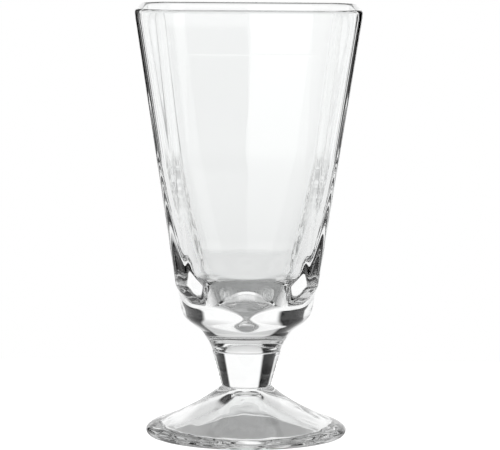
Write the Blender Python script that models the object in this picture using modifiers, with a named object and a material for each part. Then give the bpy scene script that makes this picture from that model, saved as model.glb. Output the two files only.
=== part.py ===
"""Stemmed shot glass: a four-sided bowl with cut corners, a round tapered stem and a round foot.

Metres, +Z up. The origin is on the standing plane, on the axis of the foot.
The bowl's four wide faces look along +X, -X, +Y and -Y.
"""

import math

import bmesh
import bpy

MM = 0.001

# ---------------------------------------------------------------- driving dimensions, mm
HEIGHT = 90.0          # standing plane to the crest of the lip
SEAM_GAP = 0.3         # width of the fused seam between two pieces

# bowl, outside: a round neck and a round shoulder under four wide faces with cut corners
NECK_Z, NECK_R = 18.2, 7.22            # round end that is fused to the stem
NECK_PULL_R, NECK_PULL_Z = 7.85, 20.0
CREASE_R, CREASE_Z = 9.6, 22.35        # where the neck opens into the shoulder
CREASE_FILLET = 1.0
SHOULDER_SLOPE = 1.41                  # radius gained for each mm of height
SHOULDER_SOFT = 18.0                   # how sharply the shoulder turns into the faces
ROUND_LOW_Z, ROUND_HIGH_Z = 27.2, 33.2 # the corners grow out of the round shoulder between these
FACE_A, FACE_Z, FACE_SLOPE = 14.30, 30.0, 0.1517   # distance of a wide face from the axis
RIM_A = 23.11                          # at the lip
# share of a wide face's half width to its distance from the axis: 1 is a plain square
CUT_WALL_LOW, CUT_WALL_LOW_Z, CUT_RIM = 0.803, 30.0, 0.76

# bowl, inside
WALL_AT_RIM = 1.45
BEND_Z, BEND_A = 58.0, 17.02           # the inner wall leaves the outer one here and curves in
BEND_PULL_Z, BEND_PULL_A = 45.8, 14.4
LOW_Z, LOW_A = 37.6, 11.55             # lower end of that curve
HEEL_Z, HEEL_A, HEEL_FILLET = 35.1, 11.0, 5.0
TOE_Z, TOE_A, TOE_FILLET = 29.5, 6.25, 2.0
APEX_Z = 26.5                          # the shallow point in the middle of the bottom
TIP_A = 0.9                            # it ends in a small flat
CUT_IN_RIM, CUT_IN_HEEL, CUT_IN_TOE = 0.775, 0.83, 0.72
LIP_R = 0.72                           # half-round lip, a little proud of the wall
LIP_PROUD = 0.12

# stem
STEM_TOP_R, STEM_BOTTOM_R = 7.17, 5.26
STEM_BOTTOM_Z = 10.7

# foot
FOOT_R = 21.0
FOOT_TOP_R = 5.34
FOOT_EDGE_Z = 1.25                     # height of the widest line
FOOT_BROW_R, FOOT_BROW_Z = 18.9, 2.85  # where the top surface turns over into the edge
RING_OUT, RING_IN = 19.0, 17.0         # flat standing ring
HOLLOW_Z = 7.6                         # depth of the hollow under the foot
HOLLOW_PULL_R, HOLLOW_PULL_Z = 9.0, 3.0

STEPS = 64                             # facets round the stem and the foot


# ---------------------------------------------------------------- plane curves, (a, z) in mm
def fillet(before, corner, after, radius, count):
    """Points of the arc that rounds a corner between two straight runs."""
    def unit(p, q):
        length = math.dist(p, q)
        return (q[0] - p[0]) / length, (q[1] - p[1]) / length

    u, v = unit(corner, before), unit(corner, after)
    half = math.acos(max(-1.0, min(1.0, u[0] * v[0] + u[1] * v[1]))) / 2
    run = radius / math.tan(half)
    bis = (u[0] + v[0], u[1] + v[1])
    size = math.hypot(*bis)
    far = radius / math.sin(half)
    centre = (corner[0] + bis[0] / size * far, corner[1] + bis[1] / size * far)
    start = (corner[0] + u[0] * run, corner[1] + u[1] * run)
    end = (corner[0] + v[0] * run, corner[1] + v[1] * run)
    a0 = math.atan2(start[1] - centre[1], start[0] - centre[0])
    turn = math.atan2(end[1] - centre[1], end[0] - centre[0]) - a0
    turn = (turn + math.pi) % (2 * math.pi) - math.pi
    return [
        (centre[0] + radius * math.cos(a0 + turn * i / count),
         centre[1] + radius * math.sin(a0 + turn * i / count))
        for i in range(count + 1)
    ]


def bezier(p, q, r, count):
    out = []
    for i in range(count + 1):
        t = i / count
        out.append(tuple(
            (1 - t) ** 2 * p[k] + 2 * t * (1 - t) * q[k] + t * t * r[k] for k in (0, 1)
        ))
    return out


def run(p, q, count):
    """Points from p towards q, without the last."""
    return [
        (p[0] + (q[0] - p[0]) * i / count, p[1] + (q[1] - p[1]) * i / count)
        for i in range(count)
    ]


def mix(x, x0, x1, y0, y1):
    t = max(0.0, min(1.0, (x - x0) / (x1 - x0)))
    return y0 + (y1 - y0) * t


# ---------------------------------------------------------------- the bowl's cross-section
FACE_SHARES = (-0.97, -0.7, -0.35, 0.0, 0.35, 0.7, 0.97)
CORNER_SHARES = (0.06, 0.3, 0.5, 0.7, 0.94)


def section(a, cut, radius=None, round_off=0.0):
    """One closed ring: a square with cut corners, running softly into a circle where that is smaller."""
    def inside(r):
        if radius is None:
            return r
        return (r ** -SHOULDER_SOFT + radius ** -SHOULDER_SOFT) ** (-1 / SHOULDER_SOFT)

    points = []
    w = cut * a
    flat = [(a, s * w) for s in FACE_SHARES]
    flat += [(a + (w - a) * s, w + (a - w) * s) for s in CORNER_SHARES]
    for side in range(4):
        turn = side * math.pi / 2
        for x, y in flat:
            angle, r = math.atan2(y, x), inside(math.hypot(x, y))
            r += (inside(a) - r) * round_off
            points.append((r * math.cos(angle + turn), r * math.sin(angle + turn)))
    return points


def outer_cut(z):
    return mix(z, CUT_WALL_LOW_Z, HEIGHT, CUT_WALL_LOW, CUT_RIM)


def inner_cut(z):
    if z < HEEL_Z:
        return mix(z, TOE_Z, HEEL_Z, CUT_IN_TOE, CUT_IN_HEEL)
    return mix(z, HEEL_Z, HEIGHT, CUT_IN_HEEL, CUT_IN_RIM)


def bowl_rings():
    """(z, ring) from the neck up the outside, over the lip and down the inside to the bottom."""
    lip_z = HEIGHT - LIP_R
    crease = (CREASE_R, CREASE_Z)
    neck = bezier((NECK_R, NECK_Z), (NECK_PULL_R, NECK_PULL_Z), crease, 8)
    shoulder = [(CREASE_R + SHOULDER_SLOPE * h, CREASE_Z + h) for h in (0.75 * i for i in range(16))]
    turn_out = fillet(neck[-3], crease, shoulder[2], CREASE_FILLET, 3)
    outside = [p for p in neck if p[1] < turn_out[0][1] - 0.1] + turn_out
    outside += [p for p in shoulder if p[1] > turn_out[-1][1] + 0.1]
    outside += [(None, z) for _, z in run((0.0, CREASE_Z + 12.5), (0.0, lip_z - 1.2), 8)] + [(None, lip_z - 1.2)]
    rings = []
    for radius, z in outside:
        t = mix(z, ROUND_LOW_Z, ROUND_HIGH_Z, 1.0, 0.0)
        a = FACE_A + FACE_SLOPE * (z - FACE_Z)
        rings.append((z, section(a, outer_cut(z), radius, t * t * (3 - 2 * t))))

    middle = RIM_A + LIP_PROUD - LIP_R
    corner_out = (1 + CUT_RIM) * RIM_A / math.sqrt(2)
    for i in range(9):
        angle = math.pi * i / 8
        a = middle + LIP_R * math.cos(angle)
        corner = corner_out + (a - RIM_A)
        rings.append((lip_z + LIP_R * math.sin(angle), section(a, corner * math.sqrt(2) / a - 1)))

    top = (RIM_A - WALL_AT_RIM, lip_z - 1.2)
    bend, low = (BEND_A, BEND_Z), (LOW_A, LOW_Z)
    heel, toe, apex = (HEEL_A, HEEL_Z), (TOE_A, TOE_Z), (0.0, APEX_Z)
    tip = (TIP_A, mix(TIP_A, 0.0, TOE_A, APEX_Z, TOE_Z))
    turn_in = fillet(low, heel, toe, HEEL_FILLET, 4)
    roll = fillet(heel, toe, apex, TOE_FILLET, 4)
    inside = run(top, bend, 5) + bezier(bend, (BEND_PULL_A, BEND_PULL_Z), low, 9)
    inside += turn_in + run(turn_in[-1], roll[0], 3)[1:] + roll + run(roll[-1], tip, 3)[1:] + [tip]
    for a, z in inside:
        rings.append((z, section(a, inner_cut(z))))
    return rings


# ---------------------------------------------------------------- scene helpers
def glass(name, colour, roughness):
    material = bpy.data.materials.new(name)
    material.use_nodes = True
    shader = material.node_tree.nodes["Principled BSDF"]
    shader.inputs["Base Color"].default_value = (*colour, 1.0)
    shader.inputs["Roughness"].default_value = roughness
    shader.inputs["Metallic"].default_value = 0.0
    shader.inputs["Transmission Weight"].default_value = 1.0
    shader.inputs["IOR"].default_value = 1.52
    return material


def loft(name, rings):
    """A closed skin through rings of equal count, with a flat face at each end."""
    mesh = bmesh.new()
    loops = [[mesh.verts.new((x * MM, y * MM, z * MM)) for x, y in ring] for z, ring in rings]
    for lower, upper in zip(loops, loops[1:]):
        for i in range(len(lower)):
            j = (i + 1) % len(lower)
            mesh.faces.new((lower[i], lower[j], upper[j], upper[i]))
    mesh.faces.new(list(reversed(loops[0])))
    mesh.faces.new(loops[-1])
    bmesh.ops.recalc_face_normals(mesh, faces=mesh.faces)
    data = bpy.data.meshes.new(name)
    mesh.to_mesh(data)
    mesh.free()
    return bpy.data.objects.new(name, data)


def turned(name, profile):
    """A profile at +X, from the axis at the top down its outer side to the axis below, turned round Z."""
    data = bpy.data.meshes.new(name)
    data.from_pydata(
        [(r * MM, 0.0, z * MM) for r, z in profile],
        [(i, i + 1) for i in range(len(profile) - 1)],
        [],
    )
    obj = bpy.data.objects.new(name, data)
    screw = obj.modifiers.new("turn", "SCREW")
    screw.axis = "Z"
    screw.angle = 2 * math.pi
    screw.steps = screw.render_steps = STEPS
    screw.use_merge_vertices = True
    screw.merge_threshold = 0.0001
    screw.use_smooth_shade = True
    return obj


def main():
    for obj in list(bpy.data.objects):
        bpy.data.objects.remove(obj, do_unlink=True)
    group = bpy.data.collections.new("stemmed_shot_glass")
    bpy.context.scene.collection.children.link(group)

    bowl = loft("bowl", bowl_rings())
    bowl.data.shade_smooth()
    bowl.data.set_sharp_from_angle(angle=math.radians(18))

    stem_top = NECK_Z - SEAM_GAP
    stem = turned("stem", [
        (0.0, stem_top), (STEM_TOP_R * 0.5, stem_top), (STEM_TOP_R, stem_top),
        *run((STEM_TOP_R, stem_top), (STEM_BOTTOM_R, STEM_BOTTOM_Z), 4)[1:],
        (STEM_BOTTOM_R, STEM_BOTTOM_Z), (STEM_BOTTOM_R * 0.5, STEM_BOTTOM_Z), (0.0, STEM_BOTTOM_Z),
    ])

    foot_top = STEM_BOTTOM_Z - SEAM_GAP
    # a hollow curve from the stem out to the brow, then an arc round the edge and under to the ring
    top_side = bezier((FOOT_TOP_R, foot_top), (10.6, 6.0), (FOOT_BROW_R, FOOT_BROW_Z), 9)
    edge = bezier((FOOT_BROW_R, FOOT_BROW_Z), (FOOT_R - 0.1, FOOT_BROW_Z - 0.75), (FOOT_R, FOOT_EDGE_Z), 5)[1:]
    under = bezier((FOOT_R, FOOT_EDGE_Z), (FOOT_R - 0.05, 0.0), (RING_OUT, 0.0), 5)[1:]
    dome = bezier((RING_IN, 0.0), (HOLLOW_PULL_R, HOLLOW_PULL_Z), (3.0, HOLLOW_Z - 0.7), 8)
    dome += bezier(dome[-1], (1.9, HOLLOW_Z), (0.0, HOLLOW_Z), 3)[1:]
    foot = turned("foot", [
        (0.0, foot_top), (FOOT_TOP_R * 0.5, foot_top), *top_side, *edge, *under, *dome,
    ])

    looks = {
        bowl: glass("bowl_glass", (0.96, 0.975, 0.97), 0.02),
        stem: glass("stem_glass", (0.965, 0.975, 0.97), 0.02),
        foot: glass("foot_glass", (0.96, 0.97, 0.97), 0.03),
    }
    base = bpy.data.objects.new("glass_frame", None)
    group.objects.link(base)
    for obj, material in looks.items():
        group.objects.link(obj)
        obj.data.materials.append(material)
        obj.parent = base


main()
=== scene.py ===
"""Looks of the stemmed shot glass: fine glass skins for the bowl, the stem and the foot,
clear glass with the faint waviness of pressing, a pale floor and soft studio light."""

import math

import bpy
import numpy as np
from mathutils import Matrix, Vector


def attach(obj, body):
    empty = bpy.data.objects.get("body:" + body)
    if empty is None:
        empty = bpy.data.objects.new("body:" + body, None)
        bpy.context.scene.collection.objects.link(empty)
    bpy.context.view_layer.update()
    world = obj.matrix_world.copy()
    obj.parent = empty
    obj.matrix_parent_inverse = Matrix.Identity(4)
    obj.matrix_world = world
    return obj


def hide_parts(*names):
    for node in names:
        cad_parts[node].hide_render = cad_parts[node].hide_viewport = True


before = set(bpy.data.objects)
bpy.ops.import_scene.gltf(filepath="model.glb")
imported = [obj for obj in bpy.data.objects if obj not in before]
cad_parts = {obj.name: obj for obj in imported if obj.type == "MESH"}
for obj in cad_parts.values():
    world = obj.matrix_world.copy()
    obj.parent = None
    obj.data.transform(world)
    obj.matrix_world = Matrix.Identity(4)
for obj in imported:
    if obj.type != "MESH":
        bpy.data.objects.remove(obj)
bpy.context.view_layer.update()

MM = 0.001

# ------------------------------------------------------------------ dimensions, mm
HEIGHT = 90.0
SEAM_TOP_Z = 18.05      # bowl to stem
SEAM_LOW_Z = 10.55      # stem to foot
HAIR = 0.012            # the pieces stop this far short of the seam planes

NECK_R = 7.20
NECK_PULL_R, NECK_PULL_Z = 7.85, 20.0
CREASE_R, CREASE_Z = 9.6, 22.35         # the round neck opens into the round shoulder here
SHOULDER_SLOPE, SHOULDER_SOFT = 1.41, 18.0
ROUND_HIGH, ROUND_LOW = 33.2, 27.2      # the corners of the bowl fade into the round shoulder
FACE_A, FACE_Z, FACE_SLOPE = 14.30, 30.0, 0.1517
RIM_A = 23.11
CUT_LOW, CUT_LOW_Z, CUT_RIM = 0.803, 30.0, 0.76

WALL_AT_RIM = 1.45
BEND_Z, BEND_A = 58.0, 17.02
BEND_PULL_Z, BEND_PULL_A = 45.8, 14.4
LOW_Z, LOW_A = 37.6, 11.55
HEEL_Z, HEEL_A, HEEL_FILLET = 35.1, 11.0, 5.0
TOE_Z, TOE_A, TOE_FILLET = 29.5, 6.25, 2.0
APEX_Z, APEX_FILLET = 26.2, 1.5
CUT_IN_RIM, CUT_IN_HEEL, CUT_IN_TOE = 0.775, 0.83, 0.72
LIP_R, LIP_PROUD = 0.72, 0.12

STEM_TOP_R, STEM_LOW_R = 7.20, 5.25
FOOT_R, FOOT_TOP_R, FOOT_EDGE_Z = 21.0, 5.30, 1.25
FOOT_BROW_R, FOOT_BROW_Z = 18.9, 2.85
RING_OUT, RING_IN = 19.0, 17.0
HOLLOW_Z, HOLLOW_PULL_R, HOLLOW_PULL_Z = 7.6, 9.0, 3.0

OUTER_CRISP = 45.0      # how crisp the edges between the faces are, outside and inside
INNER_CRISP_LOW, INNER_CRISP_RIM = 24.0, 55.0


# ------------------------------------------------------------------ plane curves
def fillet(before, corner, after, radius, count):
    before, corner, after = (np.asarray(p, float) for p in (before, corner, after))
    u = (before - corner) / np.linalg.norm(before - corner)
    v = (after - corner) / np.linalg.norm(after - corner)
    half = math.acos(float(np.clip(u @ v, -1, 1))) / 2
    reach = radius / math.tan(half)
    bis = (u + v) / np.linalg.norm(u + v)
    centre = corner + bis * radius / math.sin(half)
    s, e = corner + u * reach - centre, corner + v * reach - centre
    a0 = math.atan2(s[1], s[0])
    turn = (math.atan2(e[1], e[0]) - a0 + math.pi) % (2 * math.pi) - math.pi
    return [tuple(centre + radius * np.array((math.cos(a0 + turn * i / count), math.sin(a0 + turn * i / count))))
            for i in range(count + 1)]


def bezier(p, q, r, count):
    p, q, r = (np.asarray(k, float) for k in (p, q, r))
    return [tuple((1 - t) ** 2 * p + 2 * t * (1 - t) * q + t * t * r) for t in np.linspace(0, 1, count + 1)]


def line(p, q, count):
    p, q = np.asarray(p, float), np.asarray(q, float)
    return [tuple(p + (q - p) * i / count) for i in range(count)]


def ramp(x, x0, x1, y0, y1):
    t = min(1.0, max(0.0, (x - x0) / (x1 - x0)))
    return y0 + (y1 - y0) * t


# ------------------------------------------------------------------ the bowl's cross-section
def shares(count, power):
    """0 to 1, drawn towards 1."""
    return 1 - (1 - np.linspace(0, 1, count + 1)) ** power


FACE = shares(26, 1.35)
CORNER = 1 - shares(12, 1.5)[::-1]
OCTANT = [("face", s) for s in FACE] + [("corner", s) for s in CORNER[1:]]


def section(a, cut, radius, crisp, round_off=0.0):
    """A square with cut corners and slightly rounded edges, running softly into a circle where that is smaller."""
    w = cut * a
    c = (a + w) / math.sqrt(2)
    angles = []
    for kind, s in OCTANT:
        x, y = (a, s * w) if kind == "face" else (a + (((a + w) / 2) - a) * s, w + (((a + w) / 2) - w) * s)
        angles.append(math.atan2(y, x))
    octant = np.array(angles)
    quadrant = np.concatenate([octant, math.pi / 2 - octant[-2:0:-1]])
    theta = np.concatenate([quadrant + k * math.pi / 2 for k in range(4)])
    inverse = np.zeros_like(theta)
    for k in range(4):
        inverse += np.maximum(0, np.cos(theta - k * math.pi / 2)) ** crisp
        inverse += np.maximum(0, np.cos(theta - (k + 0.5) * math.pi / 2) * a / c) ** crisp
    r = a * inverse ** (-1 / crisp)
    r = (r ** -SHOULDER_SOFT + radius ** -SHOULDER_SOFT) ** (-1 / SHOULDER_SOFT)
    r = r + (r[0] - r) * round_off
    return np.stack([r * np.cos(theta), r * np.sin(theta)], 1)


def outer_cut(z):
    return ramp(z, CUT_LOW_Z, HEIGHT, CUT_LOW, CUT_RIM)


def inner_cut(z):
    if z < HEEL_Z:
        return ramp(z, TOE_Z, HEEL_Z, CUT_IN_TOE, CUT_IN_HEEL)
    return ramp(z, HEEL_Z, HEIGHT, CUT_IN_HEEL, CUT_IN_RIM)


def bowl_rings():
    lip_z = HEIGHT - LIP_R
    neck = bezier((NECK_R + 0.06, SEAM_TOP_Z + 0.36), (NECK_PULL_R, NECK_PULL_Z), (CREASE_R, CREASE_Z), 24)
    shoulder = [(CREASE_R + SHOULDER_SLOPE * h, CREASE_Z + h) for h in np.linspace(0, 12, 72)]
    turn = fillet(neck[-5], (CREASE_R, CREASE_Z), shoulder[6], 1.0, 8)
    outside = [(NECK_R - 0.16, SEAM_TOP_Z + HAIR), (NECK_R - 0.05, SEAM_TOP_Z + 0.08), (NECK_R + 0.02, SEAM_TOP_Z + 0.2)]
    outside += [p for p in neck if p[1] < turn[0][1]] + turn + [p for p in shoulder if p[1] > turn[-1][1]]
    outside += [(60.0, z) for z in np.linspace(CREASE_Z + 13, lip_z - 1.2, 34)]
    rings = []
    for r, z in outside:
        t = ramp(z, ROUND_LOW, ROUND_HIGH, 1.0, 0.0)
        rings.append((z, section(FACE_A + FACE_SLOPE * (z - FACE_Z), outer_cut(z), r, OUTER_CRISP, t * t * (3 - 2 * t))))
    middle = RIM_A + LIP_PROUD - LIP_R
    corner_out = (1 + CUT_RIM) * RIM_A / math.sqrt(2)
    for i in range(19):
        angle = math.pi * i / 18
        a = middle + LIP_R * math.cos(angle)
        corner = corner_out + (a - RIM_A)
        rings.append((lip_z + LIP_R * math.sin(angle),
                      section(a, corner * math.sqrt(2) / a - 1, 60.0, OUTER_CRISP)))
    top, bend = (RIM_A - WALL_AT_RIM, lip_z - 1.2), (BEND_A, BEND_Z)
    low, heel, toe, apex = (LOW_A, LOW_Z), (HEEL_A, HEEL_Z), (TOE_A, TOE_Z), (0.0, APEX_Z)
    curve = bezier(bend, (BEND_PULL_A, BEND_PULL_Z), low, 40)
    turn = fillet(low, heel, toe, HEEL_FILLET, 20)
    roll = fillet(heel, toe, apex, TOE_FILLET, 20)
    tip = fillet(toe, apex, (-TOE_A, TOE_Z), APEX_FILLET, 24)[:12]
    inside = line(top, bend, 14) + curve + turn + line(turn[-1], roll[0], 14)[1:] + roll + line(roll[-1], tip[0], 12)[1:] + tip
    for a, z in inside:
        rings.append((z, section(a, inner_cut(z), 60.0, ramp(z, HEEL_Z, HEIGHT, INNER_CRISP_LOW, INNER_CRISP_RIM))))
    return rings


# ------------------------------------------------------------------ meshes
def skin(name, rings, materials, sharp=40.0):
    """A closed skin through rings of points, capped at both ends. The first cap takes the second material."""
    n = len(rings[0][1])
    points = np.concatenate([np.column_stack([ring, np.full(n, z)]) for z, ring in rings]) * MM
    faces = []
    for k in range(len(rings) - 1):
        for i in range(n):
            j = (i + 1) % n
            faces.append((k * n + i, k * n + j, (k + 1) * n + j, (k + 1) * n + i))
    first = len(points)
    points = np.concatenate([points, [[0, 0, rings[0][0] * MM], [0, 0, rings[-1][0] * MM]]])
    sides = len(faces)
    last = (len(rings) - 1) * n
    faces += [(first, (i + 1) % n, i) for i in range(n)]
    faces += [(first + 1, last + i, last + (i + 1) % n) for i in range(n)]
    mesh = bpy.data.meshes.new(name)
    mesh.from_pydata(points.tolist(), [], faces)
    mesh.update()
    for material in materials:
        mesh.materials.append(material)
    index = np.zeros(len(faces), np.int32)
    if len(materials) > 1:
        index[sides:sides + n] = 1
    mesh.polygons.foreach_set("material_index", index)
    mesh.shade_smooth()
    mesh.set_sharp_from_angle(angle=math.radians(sharp))
    obj = bpy.data.objects.new(name, mesh)
    bpy.context.scene.collection.objects.link(obj)
    return obj


def circle(r, n):
    t = np.arange(n) * 2 * math.pi / n
    return np.stack([r * np.cos(t), r * np.sin(t)], 1)


# ------------------------------------------------------------------ materials
def glass_material(name, waviness, scale, colour):
    material = bpy.data.materials.new(name)
    material.use_nodes = True
    tree = material.node_tree
    shader = tree.nodes["Principled BSDF"]
    shader.inputs["Base Color"].default_value = (*colour, 1)
    shader.inputs["Roughness"].default_value = 0.0
    shader.inputs["Transmission Weight"].default_value = 1.0
    shader.inputs["IOR"].default_value = 1.5
    if waviness:
        place = tree.nodes.new("ShaderNodeTexCoord")
        stretch = tree.nodes.new("ShaderNodeMapping")
        stretch.inputs["Scale"].default_value = (1.0, 1.0, 0.55)
        noise = tree.nodes.new("ShaderNodeTexNoise")
        noise.inputs["Scale"].default_value = scale
        noise.inputs["Detail"].default_value = 1.0
        bump = tree.nodes.new("ShaderNodeBump")
        bump.inputs["Strength"].default_value = 1.0
        bump.inputs["Distance"].default_value = waviness
        tree.links.new(place.outputs["Object"], stretch.inputs["Vector"])
        tree.links.new(stretch.outputs["Vector"], noise.inputs["Vector"])
        tree.links.new(noise.outputs["Fac"], bump.inputs["Height"])
        tree.links.new(bump.outputs["Normal"], shader.inputs["Normal"])
    return material


def seam_material():
    """The fused joint: glass on both sides, so light goes straight through."""
    material = bpy.data.materials.new("fused_seam")
    material.use_nodes = True
    shader = material.node_tree.nodes["Principled BSDF"]
    shader.inputs["Base Color"].default_value = (1, 1, 1, 1)
    shader.inputs["Roughness"].default_value = 0.0
    shader.inputs["Transmission Weight"].default_value = 1.0
    shader.inputs["IOR"].default_value = 1.001
    return material


clear = glass_material("clear_glass_bowl", 0.00001, 90.0, (0.985, 0.992, 0.990))
clear_stem = glass_material("clear_glass_stem", 0.00001, 110.0, (0.985, 0.992, 0.990))
clear_foot = glass_material("clear_glass_foot", 0.0002, 150.0, (0.985, 0.992, 0.990))
seam = seam_material()

bowl = skin("bowl_glass", bowl_rings(), [clear, seam])

N = 192
stem_profile = [(STEM_LOW_R - 0.14, SEAM_LOW_Z + HAIR), (STEM_LOW_R - 0.02, SEAM_LOW_Z + 0.12)]
stem_profile += line((STEM_LOW_R + 0.05, SEAM_LOW_Z + 0.3), (STEM_TOP_R - 0.04, SEAM_TOP_Z - 0.2), 24)
stem_profile += [(STEM_TOP_R - 0.04, SEAM_TOP_Z - 0.2), (STEM_TOP_R - 0.08, SEAM_TOP_Z - 0.08), (STEM_TOP_R - 0.16, SEAM_TOP_Z - HAIR)]
stem = skin("stem_glass", [(z, circle(r, N)) for r, z in stem_profile], [clear_stem, seam])
# both ends of the stem are fused
for polygon in stem.data.polygons:
    if len(polygon.vertices) == 3:
        polygon.material_index = 1

top_side = bezier((FOOT_TOP_R, SEAM_LOW_Z - 0.1), (10.6, 6.0), (FOOT_BROW_R, FOOT_BROW_Z), 36)
edge = bezier((FOOT_BROW_R, FOOT_BROW_Z), (FOOT_R - 0.1, FOOT_BROW_Z - 0.75), (FOOT_R, FOOT_EDGE_Z), 16)[1:]
under = bezier((FOOT_R, FOOT_EDGE_Z), (FOOT_R - 0.05, 0.0), (RING_OUT, 0.0), 16)[1:]
dome = bezier((RING_IN, 0.0), (HOLLOW_PULL_R, HOLLOW_PULL_Z), (3.0, HOLLOW_Z - 0.7), 26)
dome += bezier(dome[-1], (1.9, HOLLOW_Z), (0.25, HOLLOW_Z), 10)[1:]
foot_profile = [(FOOT_TOP_R - 0.19, SEAM_LOW_Z - HAIR)] + top_side + edge + under + [(RING_OUT - 1.2, 0.0)] + dome
foot_rings = [(z, circle(r, N)[::-1]) for r, z in foot_profile]
foot = skin("foot_glass", foot_rings, [clear_foot, seam])

for piece, node in ((bowl, "bowl"), (stem, "stem"), (foot, "foot")):
    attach(piece, "root")
    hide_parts(node)

# ------------------------------------------------------------------ floor
floor_mesh = bpy.data.meshes.new("floor")
FLOOR_FRONT, FLOOR_BACK, FLOOR_SIDE = -0.026, 0.105, 0.110
floor_mesh.from_pydata([(-FLOOR_SIDE, FLOOR_FRONT, 0), (FLOOR_SIDE, FLOOR_FRONT, 0),
                        (FLOOR_SIDE, FLOOR_BACK, 0), (-FLOOR_SIDE, FLOOR_BACK, 0)], [], [(0, 1, 2, 3)])
floor = bpy.data.objects.new("floor", floor_mesh)
bpy.context.scene.collection.objects.link(floor)
pale = bpy.data.materials.new("pale_floor")
pale.use_nodes = True
pale_shader = pale.node_tree.nodes["Principled BSDF"]
pale_shader.inputs["Base Color"].default_value = (0.6, 0.6, 0.6, 1)
pale_shader.inputs["Roughness"].default_value = 0.9
pale_shader.inputs["Emission Color"].default_value = (1, 1, 1, 1)
# lit from below like a light pad, with a painted shade under and close around the foot: the floor's glow is turned down
# there
GLOW, GLOW_IN_PAINTED_SHADE, PAINTED_SHADE_FROM, PAINTED_SHADE_TO = 0.60, 0.18, 0.017, 0.055
LIFT = 0.9              # the backdrop and the floor run into one white as the camera sees them
nodes, links = pale.node_tree.nodes, pale.node_tree.links
where = nodes.new("ShaderNodeTexCoord")
reach = nodes.new("ShaderNodeVectorMath")
reach.operation = "LENGTH"
# painted shade: the floor glows least under the foot and more with distance from it
fade = nodes.new("ShaderNodeMapRange")
fade.interpolation_type = "SMOOTHSTEP"
for socket, value in (("From Min", PAINTED_SHADE_FROM), ("From Max", PAINTED_SHADE_TO), ("To Min", GLOW_IN_PAINTED_SHADE), ("To Max", GLOW)):
    fade.inputs[socket].default_value = value
lift = nodes.new("ShaderNodeLightPath")
total = nodes.new("ShaderNodeMath")
total.operation = "MULTIPLY_ADD"
total.inputs[1].default_value = LIFT
links.new(where.outputs["Object"], reach.inputs[0])
links.new(reach.outputs["Value"], fade.inputs["Value"])
links.new(lift.outputs["Is Camera Ray"], total.inputs[0])
links.new(fade.outputs["Result"], total.inputs[2])
links.new(total.outputs[0], pale_shader.inputs["Emission Strength"])
floor_mesh.materials.append(pale)
floor.location.z = -0.00002

# ------------------------------------------------------------------ studio: white panels with dark gaps between them
world = bpy.data.worlds.new("studio")
bpy.context.scene.world = world
world.use_nodes = True
tree = world.node_tree
tree.nodes.clear()


def node(kind, **values):
    made = tree.nodes.new(kind)
    for key, value in values.items():
        setattr(made, key, value)
    return made


def math_node(operation, a, b=0.0):
    made = node("ShaderNodeMath", operation=operation)
    for socket, value in zip(made.inputs, (a, b)):
        if isinstance(value, (int, float)):
            socket.default_value = value
        else:
            tree.links.new(value, socket)
    return made.outputs[0]


def ramp_node(source, stops):
    made = node("ShaderNodeValToRGB")
    made.color_ramp.interpolation = "LINEAR"
    elements = made.color_ramp.elements
    while len(elements) > 1:
        elements.remove(elements[-1])
    for i, (position, value) in enumerate(stops):
        element = elements[0] if i == 0 else elements.new(position)
        element.position = position
        element.color = (value, value, value, 1)
    tree.links.new(source, made.inputs[0])
    return made.outputs[0]


coords = node("ShaderNodeTexCoord")
split = node("ShaderNodeSeparateXYZ")
tree.links.new(coords.outputs["Generated"], split.inputs[0])
azimuth = math_node("ARCTAN2", split.outputs[0], split.outputs[1])
share = math_node("DIVIDE", math_node("ADD", azimuth, math.pi), 2 * math.pi)
height = math_node("DIVIDE", math_node("ADD", math_node("ARCSINE", split.outputs[2]), math.pi / 2), math.pi)
WHITE, DARK = 1.05, 0.002
d = 1 / 180


def around(edges, soft=1.5):
    """Stops for panels given as (from, to, level) in degrees of azimuth, 0 behind the glass, 90 to its right."""
    stops = []
    for start, end, level in edges:
        stops.append(((start + soft + 180) / 360, level))
        stops.append(((end - soft + 180) / 360, level))
    return stops


panels = ramp_node(share, around([
    (-182, -75, DARK), (-75, -51, WHITE), (-51, -20.5, DARK), (-20.5, 30, WHITE),
    (30, 62, DARK), (62, 78, WHITE), (78, 150, DARK), (150, 182, WHITE)]))
TOP = 0.68
# above the panels a wide soft light, below the horizon white behind the glass and dark in front of it
aloft = ramp_node(height, [(0, 0), ((90 + 46) * d, 0), ((90 + 56) * d, 1), (1, 1)])
under = ramp_node(height, [(0, 0), ((90 - 33) * d, 0), ((90 - 28) * d, 1), ((90 - 3) * d, 1), ((90 + 1) * d, 0), (1, 0)])
table = ramp_node(height, [(0, 0.84), ((90 - 26) * d, 0.84), ((90 - 15) * d, 0.95), ((90 - 5) * d, WHITE), (1, WHITE)])
front = ramp_node(share, [(0, 0), (328 / 360, 0), (329 / 360, 1), (1, 1)])
low = ramp_node(height, [(0, 1), ((90 - 24) * d, 1), ((90 - 20) * d, 0), (1, 0)])
deep = ramp_node(height, [(0, 1), ((90 - 33) * d, 1), ((90 - 28) * d, 0), (1, 0)])
back = ramp_node(share, [(0, 0), ((180 - 76) / 360, 0), ((180 - 66) / 360, 1), ((180 + 66) / 360, 1), ((180 + 76) / 360, 0), (1, 0)])


def blend(low, high, share_of_high):
    return math_node("ADD", math_node("MULTIPLY", low, math_node("SUBTRACT", 1.0, share_of_high)),
                     math_node("MULTIPLY", high, share_of_high))


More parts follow.
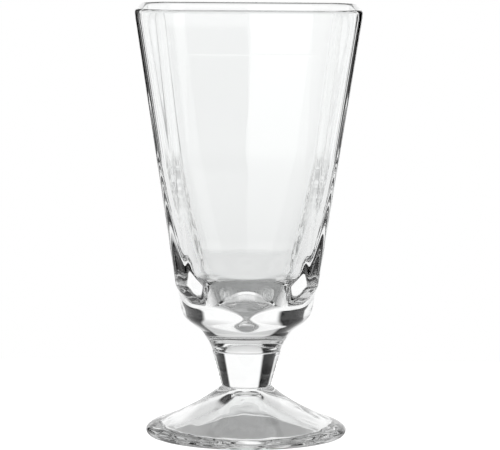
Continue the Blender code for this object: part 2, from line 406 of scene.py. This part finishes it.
grade = ramp_node(height, [(0, 1), ((90 + 11) * d, 1), ((90 + 23) * d, 0.78), ((90 + 38) * d, 0.64), (1, 0.64)])
sky = math_node("MULTIPLY", panels, grade)
sky = blend(sky, TOP, aloft)
sky = blend(sky, DARK, deep)
sky = blend(sky, DARK, math_node("MULTIPLY", front, low))
near = ramp_node(share, [(0, 0), ((180 - 24) / 360, 0), ((180 - 20) / 360, 1), ((180 + 30) / 360, 1), ((180 + 34) / 360, 0), (1, 0)])
beneath = ramp_node(height, [(0, 0), ((90 - 33) * d, 0), ((90 - 28) * d, 1), ((90 - 14) * d, 1), ((90 - 11) * d, 0), (1, 0)])
sky = blend(sky, table, math_node("MULTIPLY", under, near))
sky = blend(sky, table, math_node("MULTIPLY", beneath, back))
# low white walls at the sides and the white table all round, so the glass is clear from every side
SIDE = 0.9
sides = ramp_node(share, [(0, 0), ((180 - 101) / 360, 0), ((180 - 98) / 360, 1), ((180 - 82) / 360, 1), ((180 - 79) / 360, 0),
                          ((180 + 79) / 360, 0), ((180 + 82) / 360, 1), ((180 + 98) / 360, 1), ((180 + 101) / 360, 0), (1, 0)])
wall = ramp_node(height, [(0, 0), ((90 - 32) * d, 0), ((90 - 27) * d, 1), ((90 + 3) * d, 1), ((90 + 5) * d, 0), (1, 0)])
rear = ramp_node(share, [(0, 0), ((180 - 150) / 360, 0), ((180 - 146) / 360, 1), ((180 - 120) / 360, 1), ((180 - 114) / 360, 0),
                         ((180 + 114) / 360, 0), ((180 + 120) / 360, 1), ((180 + 146) / 360, 1), ((180 + 150) / 360, 0), (1, 0)])
flat = ramp_node(height, [(0, 0), ((90 - 54) * d, 0), ((90 - 50) * d, 1), ((90 - 9) * d, 1), ((90 - 6) * d, 0), (1, 0)])
sky = blend(sky, SIDE, math_node("MULTIPLY", sides, wall))
sky = blend(sky, SIDE, math_node("MULTIPLY", rear, flat))
across = ramp_node(share, [(0, 1), (28 / 360, 1), (32 / 360, 0), (1, 0)])
fence = ramp_node(height, [(0, 0), ((90 - 21) * d, 0), ((90 - 18) * d, 1), ((90 + 3) * d, 1), ((90 + 5) * d, 0), (1, 0)])
sky = blend(sky, WHITE, math_node("MULTIPLY", across, fence))
path = node("ShaderNodeLightPath")
seen = blend(sky, 1.0, path.outputs["Is Camera Ray"])
background = node("ShaderNodeBackground")
background.inputs["Strength"].default_value = 1.0
tree.links.new(seen, background.inputs["Color"])
output = node("ShaderNodeOutputWorld")
tree.links.new(background.outputs[0], output.inputs[0])

# ------------------------------------------------------------------ camera
DISTANCE, CAMERA_Z, TARGET_Z = 0.680, 0.11618, 0.0445
AZIMUTH, ROLL = math.radians(0.0), math.radians(0.40)
FOCAL_PX, CENTRE_X, CENTRE_Y = 3270.0, 247.35, 224.0
eye = Vector((DISTANCE * math.sin(AZIMUTH), -DISTANCE * math.cos(AZIMUTH), CAMERA_Z))
forward = (Vector((0, 0, TARGET_Z)) - eye).normalized()
right = forward.cross(Vector((0, 0, 1))).normalized()
up = right.cross(forward)
right, up = right * math.cos(ROLL) + up * math.sin(ROLL), up * math.cos(ROLL) - right * math.sin(ROLL)
camera_data = bpy.data.cameras.new("camera")
camera_data.sensor_fit = "HORIZONTAL"
camera_data.sensor_width = 36.0
camera_data.lens = FOCAL_PX * 36.0 / 500.0
camera_data.shift_x = (250.0 - CENTRE_X) / 500.0
camera_data.shift_y = (CENTRE_Y - 225.0) / 500.0
camera_data.clip_start, camera_data.clip_end = 0.01, 100.0
camera = bpy.data.objects.new("camera", camera_data)
camera.matrix_world = Matrix((
    (right.x, up.x, -forward.x, eye.x),
    (right.y, up.y, -forward.y, eye.y),
    (right.z, up.z, -forward.z, eye.z),
    (0, 0, 0, 1),
))
bpy.context.scene.collection.objects.link(camera)
bpy.context.scene.camera = camera

scene = bpy.context.scene
scene.view_settings.view_transform = "Standard"
scene.cycles.max_bounces = 32
scene.cycles.transmission_bounces = 28
scene.cycles.glossy_bounces = 16
